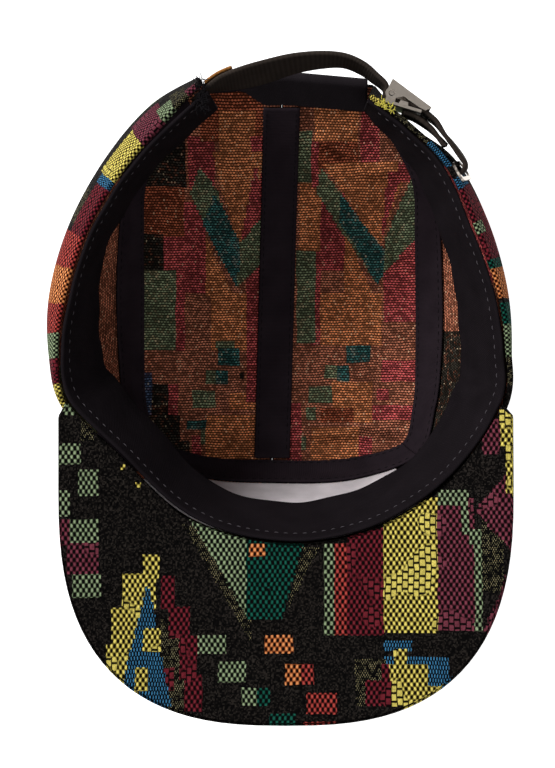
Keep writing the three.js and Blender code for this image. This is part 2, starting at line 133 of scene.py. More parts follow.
front_right = 11
peak_left = 6
peak_right = 12
crown_x, crown_y = 1, 25


def crown_height(x, y):
    side = 13.2 * (np.maximum(0, abs(x - crown_x) - 35) / 28.5) ** 2
    front = 9.2 * (np.maximum(0, -25 - y) / 14) ** 2
    back = 55.7 * (np.maximum(0, y - 42) / 81.5) ** 2
    return panel_cloth / 2 + side + front + back


def crown_point(x, y):
    return stack(x, y, crown_height(x, y))


def hem_point(t):
    x = smooth(sections["hem_x"], t)
    y = smooth(sections["hem_y"], t)
    return stack(x, y, rim_height - front_dip * ease((-5 - y) / 57))


def seam_point(t):
    return crown_point(smooth(sections["seam_x"], t), smooth(sections["seam_y"], t))


def inward(curve, t):
    before = curve(np.maximum(t - 0.3, 0))
    after = curve(np.minimum(t + 0.3, last_section))
    across = after - before
    return unit(stack(-across[..., 1], across[..., 0], 0 * across[..., 0]))


def wall_point(t, v):
    hem = hem_point(t)
    seam = seam_point(t)
    out = unit(stack(hem[..., 0] - crown_x, hem[..., 1] - crown_y, 0))
    height = hem[..., 2] - seam[..., 2]
    up = np.array([0, 0, 1])
    upper = hem + out * smooth(sections["belly"], t)[..., None] - up * (0.35 * height)[..., None]
    lower = seam + out * smooth(sections["shoulder"], t)[..., None] + up * (0.3 * height)[..., None]
    w = np.asarray(v)[..., None] + 0 * hem
    return (1 - w) ** 3 * hem + 3 * (1 - w) ** 2 * w * upper + 3 * (1 - w) * w * w * lower + w ** 3 * seam


def wall_share(t, length):
    return length / np.linalg.norm(hem_point(t) - seam_point(t), axis=-1)


def surface_normal(point, u, v):
    step = 0.002
    along = point(np.minimum(u + step, 1), v) - point(np.maximum(u - step, 0), v)
    across = point(u, np.minimum(v + step, 1)) - point(u, np.maximum(v - step, 0))
    return unit(np.cross(along, across))


# Panels
seam_inset = 0.6
ring_inset = 1.1
section_step = 27
seam_step = seam_inset / section_step
under_peak = peak_thickness + gap + 0.2


def hem_drop(t):
    return under_peak * ease((t - peak_left + 0.25) * 4) * ease((peak_right + 0.25 - t) * 4)


def wall_panel(start, end):
    def point(u, v):
        t = mix(start, end, u)
        return wall_point(t, mix(wall_share(t, hem_drop(t)), 1 - wall_share(t, ring_inset), v))
    return point


centre_back = (2, 123.5)
centre_front = (sections["seam_x"][9], sections["seam_y"][9])
top_width = 62
top_length = 165


def centre_x(y):
    return mix(centre_back[0], centre_front[0], (centre_back[1] - y) / (centre_back[1] - centre_front[1]))


def top_point(left, v, w):
    def side_row(share):
        return share * front_left if left else last_section - share * front_left
    front_row = mix(front_left if left else front_right, front_centre, w)
    side, back, corner = (seam_point(side_row(share + 0 * v)) for share in (v, 0, 1))
    front = seam_point(front_row)
    centre_y = side[..., 1] + mix(centre_back[1] - back[..., 1], centre_front[1] - corner[..., 1], v)
    x = mix(side[..., 0], centre_x(centre_y), w)
    x = x + v ** 3 * (front[..., 0] - mix(corner[..., 0], centre_front[0], w))
    y = mix(side[..., 1], centre_y, w)
    y = y + v ** 3 * (front[..., 1] - mix(corner[..., 1], centre_front[1], w))
    return crown_point(x, y)


def top_panel(left):
    def point(u, w):
        forward = u if left else 1 - u
        v = mix(seam_inset / top_length, 1 - seam_inset / top_length, forward)
        side = mix(seam_inset / top_width, 1 - 0.05 / top_width, w)
        return top_point(left, v, side)
    return point


# Peak
peak_form = {"x": 3.2, "half": 87.4, "side": -40, "front": 91.6, "power": 2.65, "end": -12}


def peak_edge():
    f = peak_form
    angle = math.pi * (1 + np.linspace(0, 1, 49))
    c, s = np.cos(angle), np.sin(angle)
    x = f["x"] + f["half"] * np.sign(c) * abs(c) ** (2 / f["power"])
    y = f["side"] - f["front"] * abs(s) ** (2 / f["power"])
    x = np.concatenate([[f["x"] - f["half"]], x, [f["x"] + f["half"]]])
    y = np.concatenate([[f["end"]], y, [f["end"]]])
    return x, y, np.concatenate([[0], np.cumsum(np.hypot(np.diff(x), np.diff(y)))])


edge_x, edge_y, edge_length = peak_edge()


def peak_outline(u):
    place = np.clip(u, 0, 1) * edge_length[-1]
    return np.interp(place, edge_length, edge_x), np.interp(place, edge_length, edge_y)


def peak_point(u, v):
    t = mix(peak_left, peak_right, u)
    inner = hem_point(t) + inward(hem_point, t) * (panel_cloth / 2 + 0.1)
    x, y = peak_outline(u)
    forward = (peak_form["end"] - y) / (peak_form["front"] - peak_form["side"] + peak_form["end"])
    arch = front_dip * (1 - ((x - peak_form["x"]) / peak_form["half"]) ** 2)
    outer = stack(x, y, rim_height + 1 + 7 * forward - arch)
    place = inner + (outer - inner) * np.asarray(v)[..., None]
    place[..., 2] -= peak_thickness / 2
    return place


# Sweatband and tapes
band_start = 0.08


def band_point(u, v):
    t = mix(band_start, last_section - seam_step, u)
    reach = smooth(sections["band_reach"], t)
    offset = smooth(sections["band_out"], t) + v * reach
    place = hem_point(t) + inward(hem_point, t) * offset[..., None]
    place[..., 2] -= v * np.sqrt(band_width ** 2 - reach ** 2)
    return place


tape_lift = panel_cloth / 2 + gap + tape_cloth / 2 + 0.25
tape_slope = 0.78


def across_seam(t, d):
    low = wall_point(t, 1 - wall_share(t, np.maximum(-d, 0)))
    flat = seam_point(t) + inward(seam_point, t) * (np.maximum(d, 0) * tape_slope)[..., None]
    return np.where((d < 0)[..., None], low, crown_point(flat[..., 0], flat[..., 1]))


def ring_tape(start, end):
    return lambda u, v: across_seam(mix(start, end, u), (v - 0.5) * tape_width)


def wall_tape(t):
    half = tape_width / 2 / section_step
    top = wall_share(np.array(float(t)), under_peak + 2)
    bottom = 1 - wall_share(np.array(float(t)), tape_width / 2 + 1)
    return lambda u, v: wall_point(t + (u * 2 - 1) * half, mix(top, bottom, v))


binding_reach = 9


def centre_tape(u, v):
    start = centre_back[1] - binding_reach - 1
    y = mix(start, centre_front[1] + tape_slope * tape_width / 2 + 1, u)
    return crown_point(centre_x(y) + (v - 0.5) * tape_width, y)


def backing_point(u, v):
    t = mix(7.42, 10.58, u)
    return wall_point(t, mix(0.1, 1 - wall_share(t, tape_width / 2 + 1), v))


binding_lift = panel_cloth / 2 + gap + 0.5 + 0.1
binding_inset = 2.5
binding_narrow = {"from": -3, "over": 13, "share": 0.7}


def binding_point(u, v):
    x = mix(sections["seam_x"][0] + binding_inset, sections["seam_x"][-1] - binding_inset, u)
    corner_x = np.where(x < centre_back[0], sections["seam_x"][0], sections["seam_x"][-1])
    corner_y = np.where(x < centre_back[0], sections["seam_y"][0], sections["seam_y"][-1])
    edge = mix(centre_back[1], corner_y, (x - centre_back[0]) / (corner_x - centre_back[0]))
    leg = 0.4
    narrow = binding_narrow["share"] * ease((binding_narrow["from"] - x) / binding_narrow["over"])
    distance = binding_reach * (1 - narrow) * np.maximum(0, np.maximum(1 - v / leg, 1 - (1 - v) / leg))
    turn = math.pi * np.clip((v - leg) / (1 - 2 * leg), 0, 1)
    place = crown_point(x, edge - distance)
    y = place[..., 1]
    slope = (crown_height(x, y + 0.1) - crown_height(x, y - 0.1)) / 0.2
    outwards = unit(stack(0 * x, 1 + 0 * x, slope))
    inside = unit(stack(0 * x, -slope, 1 + 0 * x))
    return place + binding_lift * (inside * np.cos(turn)[..., None] + outwards * np.sin(turn)[..., None])


# Strap, holder and tab
strap_drop = 0.85 + 0.25 + strap_thickness / 2
base_drop = strap_drop + strap_thickness / 2 + 0.25


def clasp_point(s, n):
    c, d = math.cos(base_angle), math.sin(base_angle)
    return pin_place[0] + s * c - n * d, pin_place[1] + s * d + n * c


slot_section = 15.8
slot_share = (rim_height - strap_middle) / (rim_height - seam_point(np.array(slot_section))[2])
slot_centre = wall_point(np.array(slot_section), np.array(slot_share))
slot_along = unit(hem_point(np.array(slot_section - 0.1)) - hem_point(np.array(slot_section + 0.1)))


def slot_point(s, n):
    x = slot_centre[0] + s * slot_along[0] - n * slot_along[1]
    return x, slot_centre[1] + s * slot_along[1] + n * slot_along[0]


strap_rows = table(("x", "y", "lean"), [
    (-33, 109.2, 0),
    (-27.5, 114.4, 0),
    (-21.5, 117.3, -3),
    (-14, 119.2, -5.5),
    (-5, 121.6, -6),
    (6, 124.7, -4.8),
    (17, 126.2, -3.5),
    (26, 125.9, -2.3),
    (33.2, 122.9, -1.8),
    (38.3, 118.9, -1),
    (41.2, 116.5, -0.5),
    (*clasp_point(-2.4, 1.9), 0),
    (*clasp_point(-2.1, -0.3), 0),
    (*clasp_point(-0.6, -strap_drop), 0),
    (*clasp_point(5, -strap_drop), 0),
    (*clasp_point(10, -strap_drop), 0),
    (*clasp_point(13, -strap_drop - 0.15), 0),
    (*clasp_point(16, -strap_drop - 1.2), 0.3),
    (61.9, 101.6, 1),
    (65.2, 97, 2),
    (*slot_point(-10.5, 2.8), 2.6),
    (*slot_point(-5, 3.5), 2.8),
    (*slot_point(-1.7, 3.5), 2),
    (*slot_point(0, 1.9), 0.6),
    (*slot_point(0.5, 0.3), 0),
    (*slot_point(0.6, -1.3), 0),
])
holder_thickness = 2
holder_drop = base_drop + 0.8 + 0.25 + holder_thickness / 2
holder_rows = table(("x", "y", "lean"), [
    (*clasp_point(6, -holder_drop), 0),
    (*clasp_point(9, -holder_drop), 0),
    (*clasp_point(12, -holder_drop - 0.3), 0),
    (59.2, 99.7, 0.6),
    (62.6, 96.1, 1.6),
    (65.7, 92.4, 2.4),
])


def strap_point(rows, start, end, width):
    def point(u, v):
        row = mix(start, end, u)
        dx = smooth(rows["x"], row + 0.1) - smooth(rows["x"], row - 0.1)
        dy = smooth(rows["y"], row + 0.1) - smooth(rows["y"], row - 0.1)
        out = unit(stack(-dy, dx, 0 * dx))
        place = stack(smooth(rows["x"], row), smooth(rows["y"], row), strap_middle + (0.5 - v) * width)
        return place + out * ((v - 0.5) * smooth(rows["lean"], row))[..., None]
    return point


def mesh_of(name, points, faces):
    mesh = bpy.data.meshes.new(name)
    mesh.from_pydata(metres(points).tolist(), [], faces)
    mesh.update()
    mesh.polygons.foreach_set("use_smooth", np.ones(len(faces), bool))
    return mesh


def add(name, data):
    obj = bpy.data.objects.new(name, data)
    bpy.context.scene.collection.objects.link(obj)
    return obj


# How far the weave runs on over each half of a cloth's edge, and how much of the thickness it rounds
edge_turn = 1.5
edge_round = 0.4


# A closed cloth wall with rounded edges round the surface point(u, v)
def cloth(name, point, columns, rows, thickness, looks, chart, lift=0.0, shape=None, swell=None):
    u, v = np.meshgrid(np.linspace(0, 1, columns + 1), np.linspace(0, 1, rows + 1), indexing="ij")
    normal = surface_normal(point, u, v)
    middle = point(u, v) + normal * lift
    if shape is not None:
        middle = middle + normal * shape(u, v)[..., None]
    edge = thickness * edge_round
    pulled = middle.copy()
    along = unit(middle[1:] - middle[:-1])
    across = unit(middle[:, 1:] - middle[:, :-1])
    pulled[0] += along[0] * edge
    pulled[-1] -= along[-1] * edge
    pulled[:, 0] += across[:, 0] * edge
    pulled[:, -1] -= across[:, -1] * edge
    inside, outside = swell(u, v) if swell else (0 * u, 0 * u)
    inner = pulled + normal * (thickness / 2 + inside)[..., None]
    outer = pulled - normal * (thickness / 2 + outside)[..., None]
    layer = (columns + 1) * (rows + 1)
    border = [(i, 0) for i in range(columns)] + [(columns, j) for j in range(rows)]
    border += [(i, rows) for i in range(columns, 0, -1)] + [(0, j) for j in range(rows, 0, -1)]
    ring = np.array([i * (rows + 1) + j for i, j in border])
    points = np.concatenate([inner.reshape(-1, 3), outer.reshape(-1, 3), middle.reshape(-1, 3)[ring]])
    a = (np.arange(columns)[:, None] * (rows + 1) + np.arange(rows)[None]).reshape(-1)
    quad = np.stack([a, a + rows + 1, a + rows + 2, a + 1], axis=1)
    after = np.roll(ring, -1)
    spot = 2 * layer + np.arange(len(ring))
    spot_after = np.roll(spot, -1)
    faces = np.concatenate([
        quad,
        layer + quad[:, ::-1],
        np.stack([spot, spot_after, after, ring], axis=1),
        np.stack([layer + ring, layer + after, spot_after, spot], axis=1),
    ])
    slots = np.repeat([0, 1, 2], [len(quad), len(quad), 2 * len(ring)])
    mesh = mesh_of(name, points, faces.tolist())
    mesh.polygons.foreach_set("material_index", slots.astype(np.int32))
    flat = chart(u, v, middle)
    flat = np.stack([np.broadcast_to(part, u.shape) for part in flat], axis=-1).reshape(-1, 2)
    flat = np.concatenate([flat, flat, flat[ring]]) / 1000
    layer_uv = mesh.uv_layers.new(name="chart")
    corner = np.zeros(len(mesh.loops), np.int32)
    mesh.loops.foreach_get("vertex_index", corner)
    place = flat[corner]
    face_corners = 2 * 4 * len(quad)
    rim = np.arange(len(corner)) >= face_corners
    place[rim & (corner < layer), 1] -= 2 * edge_turn / 1000
    place[rim & (corner >= 2 * layer), 1] -= edge_turn / 1000
    layer_uv.data.foreach_set("uv", place.astype(np.float32).reshape(-1))
    obj = add(name, mesh)
    for k in range(3):
        obj.data.materials.append(looks[min(k, len(looks) - 1)])
    return obj


# Closed tubes, each a run of rings with the same number of points, that ride on the cap
sides = 6
tube_angle = 2 * math.pi * np.arange(sides) / sides


def tubes(name, points, rings, look):
    points = np.asarray(points).reshape(-1, 3)
    faces = []
    for base in range(0, len(points), rings * sides):
        last = base + (rings - 1) * sides
        for start in range(base, last, sides):
            for k in range(sides):
                a, b = start + k, start + (k + 1) % sides
                faces.append((a, b, b + sides, a + sides))
        faces.append(tuple(base + k for k in reversed(range(sides))))
        faces.append(tuple(last + k for k in range(sides)))
    mesh = mesh_of(name, points, faces)
    mesh.materials.append(look)
    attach(add(name, mesh), "cap")


def ring_around(beside, up):
    return beside[..., None, :] * np.cos(tube_angle)[:, None] + up[..., None, :] * np.sin(tube_angle)[:, None]


# A row of stitches along a path on a surface: each dips into the cloth at its two ends
def stitches(name, path, normals, length, space, radius, look):
    steps = np.linalg.norm(np.diff(path, axis=0), axis=1)
    run = np.concatenate([[0], np.cumsum(steps)])
    count = int(run[-1] // (length + space))
    starts = np.arange(count) * (length + space) + space / 2
    share = np.linspace(0, 1, 6)
    place = starts[:, None] + share[None] * length
    centre = np.stack([np.interp(place, run, path[:, k]) for k in range(3)], axis=-1)
    up = unit(np.stack([np.interp(place, run, normals[:, k]) for k in range(3)], axis=-1))
    ahead = unit(np.gradient(centre, axis=1))
    beside = unit(np.cross(ahead, up))
    arch = radius * (1.7 * np.sin(math.pi * share) - 0.9)
    centre = centre + up * arch[None, :, None]
    thick = radius * np.sqrt(np.clip(np.sin(math.pi * (0.06 + 0.88 * share)), 0.05, 1))
    points = centre[..., None, :] + ring_around(beside, up) * thick[None, :, None, None]
    tubes(name, points, len(share), look)


# Places and normals along the row v of a cloth's inner face, short of its ends
def row_on(point, thickness, v, end, count, lift=0.0):
    u = np.linspace(end, 1 - end, count)
    v = v + 0 * u
    normal = surface_normal(point, u, v)
    return point(u, v) + normal * (lift + thickness / 2), normal


# Shader nodes
class Shader:
    def __init__(self, name):
        self.material = bpy.data.materials.new(name)
        self.material.use_nodes = True
        self.nodes = self.material.node_tree.nodes
        self.links = self.material.node_tree.links
        self.surface = self.nodes["Principled BSDF"]

    def put(self, socket, value):
        if isinstance(value, bpy.types.NodeSocket):
            self.links.new(value, socket)
        else:
            socket.default_value = value

    def node(self, kind, values=(), operation=None):
        node = self.nodes.new("ShaderNode" + kind)
        if operation:
            node.operation = operation
        for socket, value in zip(node.inputs, values):
            if value is not None:
                self.put(socket, value)
        return node

    def math(self, operation, a, b=None, c=None, clamp=False):
        node = self.node("Math", (a, b, c), operation)
        node.use_clamp = clamp
        return node.outputs[0]

    def times(self, a, b, clamp=False):
        return self.math("MULTIPLY", a, b, clamp=clamp)

    def plus(self, a, b):
        return self.math("ADD", a, b)

    def sway(self, flat, scale, amount):
        return self.times(self.math("SUBTRACT", self.noise(flat, scale), 0.5), amount)

    def cell(self, value, size):
        return self.math("FLOOR", self.math("DIVIDE", value, size))

    def vector(self, operation, a, b=None, c=None):
        outputs = self.node("VectorMath", (a, b, c), operation).outputs
        return outputs["Value"] if operation == "DOT_PRODUCT" else outputs[0]

    def split(self, vector):
        return self.node("SeparateXYZ", (vector,)).outputs

    def combine(self, x, y, z=0.0):
        return self.node("CombineXYZ", (x, y, z)).outputs[0]

    def blend(self, share, a, b):
        node = self.nodes.new("ShaderNodeMix")
        node.data_type = "RGBA"
        self.put(node.inputs["Factor"], share)
        self.put(node.inputs[6], a)
        self.put(node.inputs[7], b)
        return node.outputs[2]

    def blend_value(self, share, a, b):
        node = self.nodes.new("ShaderNodeMix")
        node.data_type = "FLOAT"
        self.put(node.inputs[0], share)
        self.put(node.inputs[2], a)
        self.put(node.inputs[3], b)
        return node.outputs[0]

    def ramp(self, value, low, high, start=0.0, end=1.0):
        node = self.node("MapRange", (value, low, high, start, end))
        node.interpolation_type = "SMOOTHSTEP"
        return node.outputs[0]

    def noise(self, vector, scale, detail=2.0, rough=0.5):
        node = self.node("TexNoise", (vector,))
        node.inputs["Scale"].default_value = scale
        node.inputs["Detail"].default_value = detail
        node.inputs["Roughness"].default_value = rough
        return node.outputs[0]

    def scatter(self, vector):
        return self.node("TexWhiteNoise", (vector,)).outputs[0]

    def chart(self):
        node = self.nodes.new("ShaderNodeUVMap")
        node.uv_map = "chart"
        return self.scaled(node.outputs[0], 1000)

    def scaled(self, vector, amount):
        node = self.node("VectorMath", (vector,), "SCALE")
        node.inputs["Scale"].default_value = amount
        return node.outputs[0]

    def place(self):
        return self.scaled(self.node("TexCoord").outputs["Object"], 1000)

    def bump(self, height, distance, strength=1.0):
        node = self.nodes.new("ShaderNodeBump")
        node.inputs["Strength"].default_value = strength
        node.inputs["Distance"].default_value = distance / 1000
        self.put(node.inputs["Height"], height)
        self.links.new(node.outputs[0], self.surface.inputs["Normal"])

    def finish(self, colour, roughness, metallic=0.0, specular=0.3):
        self.put(self.surface.inputs["Base Color"], colour)
        self.put(self.surface.inputs["Roughness"], roughness)
        self.surface.inputs["Metallic"].default_value = metallic
        self.surface.inputs["Specular IOR Level"].default_value = specular
        return self.material


def linear(red, green, blue):
    def channel(value):
        s = value / 255
        return s / 12.92 if s <= 0.04045 else ((s + 0.055) / 1.055) ** 2.4
    return (channel(red), channel(green), channel(blue), 1.0)


cloth_roughness = 0.9
weave_specular = 0.02
lint_colour = (0.12, 0.11, 0.11, 1)


# Twill cloth: fine slanting ribs, uneven dye with painted light on the ribs and painted shade between them,
# and a little lint
def twill(name, colour, rib=0.9, slant=0.6, light=1.5, lint=0.1):
    s = Shader(name)
    flat = s.chart()
    x, y, _ = s.split(flat)
    across = s.plus(s.times(x, 1 / rib), s.times(y, slant / rib))
    wave = s.math("SINE", s.times(across, 2 * math.pi))
    cross = s.math("SINE", s.times(y, 2 * math.pi / (rib * 0.8)))
    height = s.plus(s.times(wave, 0.35), s.times(cross, 0.15))
    # The tone is uneven dye plus painted light on the ribs and painted shade in the grooves between them.
    dye_and_rib_shade = s.plus(s.noise(flat, 0.09, 3.0), s.times(height, 0.5))
    specks = s.ramp(s.noise(flat, 1.6, 1.0), 0.66, 0.8)
    base = tuple(c * 0.6 for c in colour[:3]) + (1.0,)
    bright = tuple(min(1, c * light + 0.001) for c in colour[:3]) + (1.0,)
    shade = s.blend(dye_and_rib_shade, base, bright)
    shade = s.blend(s.times(specks, lint), shade, lint_colour)
    s.bump(height, 0.12, 0.7)
    return s.finish(shade, cloth_roughness, specular=0.04)


looks = {
    "band": twill("band_twill", linear(21, 17, 20), rib=0.8, slant=0.5),
    "tape": twill("tape_twill", linear(36, 29, 34), rib=0.6, slant=0.0),
    "binding": twill("binding_twill", linear(30, 26, 29), rib=0.7, slant=0.4),
    "strap": twill("strap_webbing", linear(44, 38, 34), rib=1.2, slant=0.0),
    "backing": twill("backing_felt", linear(206, 199, 202), rib=0.7, slant=1.0, light=1.3),
    "tab": twill("tab_leather", linear(138, 92, 46), rib=2.4, slant=0.3, light=1.3, lint=0.0),
}


# Woven cloth. The front shows thick yarn in basket, net and dot weaves on a fine black ground,
# and the reverse shows the same colours as fine rows of dots.
# Each yarn has its weave, a darker copy of its colour as painted shade in the hollows and a lighter copy as
# painted light on the raised parts.
yarns = {
    "yellow": ("basket", linear(78, 66, 20), linear(240, 222, 112)),
    "burgundy": ("basket", linear(40, 14, 20), linear(128, 62, 76)),
    "dark_red": ("basket", linear(44, 9, 14), linear(122, 40, 50)),
    "red": ("net", linear(66, 16, 16), linear(184, 74, 66)),
    "orange": ("net", linear(98, 42, 16), linear(232, 150, 92)),
    "sage": ("open", linear(34, 42, 28), linear(150, 168, 130)),
    "teal": ("open", linear(2, 22, 19), linear(26, 92, 76)),
    "blue": ("dots", linear(6, 22, 36), linear(58, 120, 160)),
    "specks": ("specks", linear(40, 38, 30), linear(142, 134, 100)),
}
ground = linear(8, 7, 7)
ground_light = linear(40, 36, 33)
reverse_yarns = {
    "rust": linear(168, 104, 80),
    "gold": linear(206, 128, 84),
    "wine": linear(176, 78, 78),
    "brown_red": linear(150, 80, 56),
    "sage": linear(112, 122, 94),
    "teal": linear(58, 100, 96),
    "dark": linear(50, 46, 40),
    "blue": linear(70, 84, 110),
}

# The chart of the cloth, in steps of 2 mm: left and right, back and front of each block,
# or the three corners of a wedge. On the sides the chart runs along the rim and down from it.
# Later rows lie over earlier ones.
peak_blocks = [
    ("sage", -41.5, -38.5, 3, 6), ("sage", -42, -38, 11.5, 15.5), ("sage", -38.5, -34.5, 16.5, 21.5),
    ("sage", -42, -40, 20.5, 25.5), ("burgundy", -42.5, -40, 26, 31), ("sage", -40, -34.5, 26, 30.5),
    ("burgundy", -40.5, -34.5, 30.5, 36.5), ("sage", -39.5, -34, 36.5, 41), ("specks", -38, -35.5, 5, 11),
    ("yellow", -30.5, -29.5, 15.5, 16.5), ("yellow", -27.5, -26.5, 19, 20), ("yellow", -26, -23, 33, 37.5),
    ("yellow", -30, -23.5, 36.5, 43.5), ("yellow", -32, -25, 43, 50), ("yellow", -33, -26, 50, 57),
    ("specks", -22.5, -18, 45, 64), ("dark_red", -22.5, -20, 37, 43.5), ("dark_red", -21, -17, 43, 49),
    ("dark_red", -19, -15.5, 48.5, 57), ("dark_red", -18, -14.5, 56, 63), ("dark_red", -22, -20, 54.5, 59),
    ("blue wedge", (-25, 38), (-31, 62), (-20.5, 62)), ("yellow", -26, -22.5, 47, 51.5),
    ("yellow", -27.5, -25, 54.5, 59), ("specks wedge", (-18.5, 27), (-5, 30), (-5, 50)),
    ("sage wedge", (-17, 26), (-5.8, 26), (-5.6, 45.6)), ("teal wedge", (-6, 30), (5.2, 30), (0.8, 45.6)),
    ("teal wedge", (-6, 30), (0.8, 45.6), (-6, 45.6)), ("specks wedge", (4.8, 31.5), (8, 31.5), (1.8, 44)),
    ("orange", -5.5, -2.5, 31, 33.5), ("sage", -15.5, -10, 48.5, 52), ("sage", -11.5, -6, 53.5, 57.5),
    ("sage", -7, -4, 58.5, 62), ("teal", -4, -1.5, 58.5, 62), ("teal", -1.5, 3.5, 63.5, 66),
    ("orange", -2.5, 3, 48.5, 52), ("orange", 1.5, 4.5, 54, 58), ("red", 4.5, 7, 54, 58),
    ("red", 5.5, 11.5, 59.5, 63.5), ("sage", 9, 11, 31, 48.5), ("red", 11, 13.5, 31, 48.5),
    ("dark_red", 13.5, 20.5, 28, 48.5), ("yellow", 20.5, 31, 22, 48), ("burgundy", 31, 38, 22, 47.5),
    ("sage", 31, 37, 20.5, 23.5), ("sage", 35.5, 37, 20.5, 29), ("sage", 37, 39.5, 28, 31),
    ("sage", 38, 39.5, 28, 47.5), ("specks", 39.5, 43.5, 25, 40),
    ("burgundy wedge", (38.2, 24.5), (46, 15), (46, 33)), ("burgundy", 39.5, 43, 6.5, 13.5),
    ("burgundy wedge", (39.5, 47.5), (46, 33), (46, 47.5)), ("yellow", 43, 46, 5, 12),
    ("yellow", 44, 46, 12, 21), ("blue", 20.5, 26, 49.5, 51.5), ("blue", 20.5, 33, 52.5, 56.5),
    ("blue", 26, 38, 56.5, 62), ("yellow", 22.5, 25, 51, 54.5), ("yellow", 21.5, 29, 54, 58),
    ("yellow", 22, 34, 58, 62), ("specks", 15, 21, 53, 62), ("dark_red", 17, 22, 57, 62),
    ("dark_red", 20, 21.5, 54, 57), ("red", 5, 11.5, 65, 68),
]
left_blocks = [
    ("yellow", 75.5, 82, -8, 14), ("yellow", 79, 92, 8, 20), ("dark_red", 69, 76, -8, 16),
    ("sage", 62.5, 69, -8, 12), ("red", 55.5, 62.5, -8, 15), ("orange", 48, 55.5, -8, 18),
    ("red", 41.5, 48, -8, 14), ("dark_red", 31, 41.5, -8, 8), ("specks", 33, 40, 8, 15),
    ("blue", 28, 31, -8, 9), ("yellow", 17, 29, -8, 12), ("burgundy", 11.5, 19, -8, 16),
    ("sage", 9, 12.5, -8, 9), ("specks", 5.5, 9, -8, 14), ("burgundy", 2.5, 5.5, -8, 6),
    ("yellow", 55, 63, 30, 36), ("yellow", 51, 67, 36, 42), ("blue wedge", (59, 32), (53, 46), (65, 46)),
    ("dark_red", 33, 36, 22, 44), ("yellow", 36, 44, 20, 44), ("burgundy", 44, 48, 22, 44),
    ("sage wedge", (10, 22), (20, 22), (20, 40)), ("teal wedge", (20, 22), (28, 22), (20, 40)),
    ("orange", 72, 77, 26, 30), ("red", 77, 82, 31, 35), ("sage", 82, 87, 36, 40), ("teal", 67, 72, 31, 35),
]
right_blocks = [
    ("burgundy", 149, 158, 4, 16), ("yellow", 158, 166, 8, 18), ("specks", 166, 173, -8, 12),
    ("sage", 173, 181, -8, 14), ("teal", 181, 186, -8, 12), ("orange", 187, 193.5, -8, 15),
    ("teal", 193.5, 195.5, -8, 9), ("dark_red", 195.5, 210.5, -8, 12), ("sage", 201, 203.5, -8, 5),
    ("red", 198, 206, 12, 18), ("blue", 210.5, 213, -8, 10), ("specks", 213, 222, 8, 16),
    ("blue", 215.5, 222.5, -8, 3), ("specks", 222.5, 236, -8, 2), ("yellow", 236, 244, -8, 3),
    ("yellow", 176, 184, 30, 36), ("yellow", 172, 188, 36, 42),
    ("blue wedge", (180, 32), (174, 46), (186, 46)), ("dark_red", 202, 205, 24, 44),
    ("yellow", 205, 213, 22, 44), ("burgundy", 213, 217, 24, 44),
    ("sage wedge", (224, 20), (234, 20), (234, 38)), ("teal wedge", (234, 20), (241, 20), (234, 38)),
    ("orange", 162, 167, 26, 30), ("red", 157, 162, 31, 35), ("sage", 152, 157, 36, 40),
]
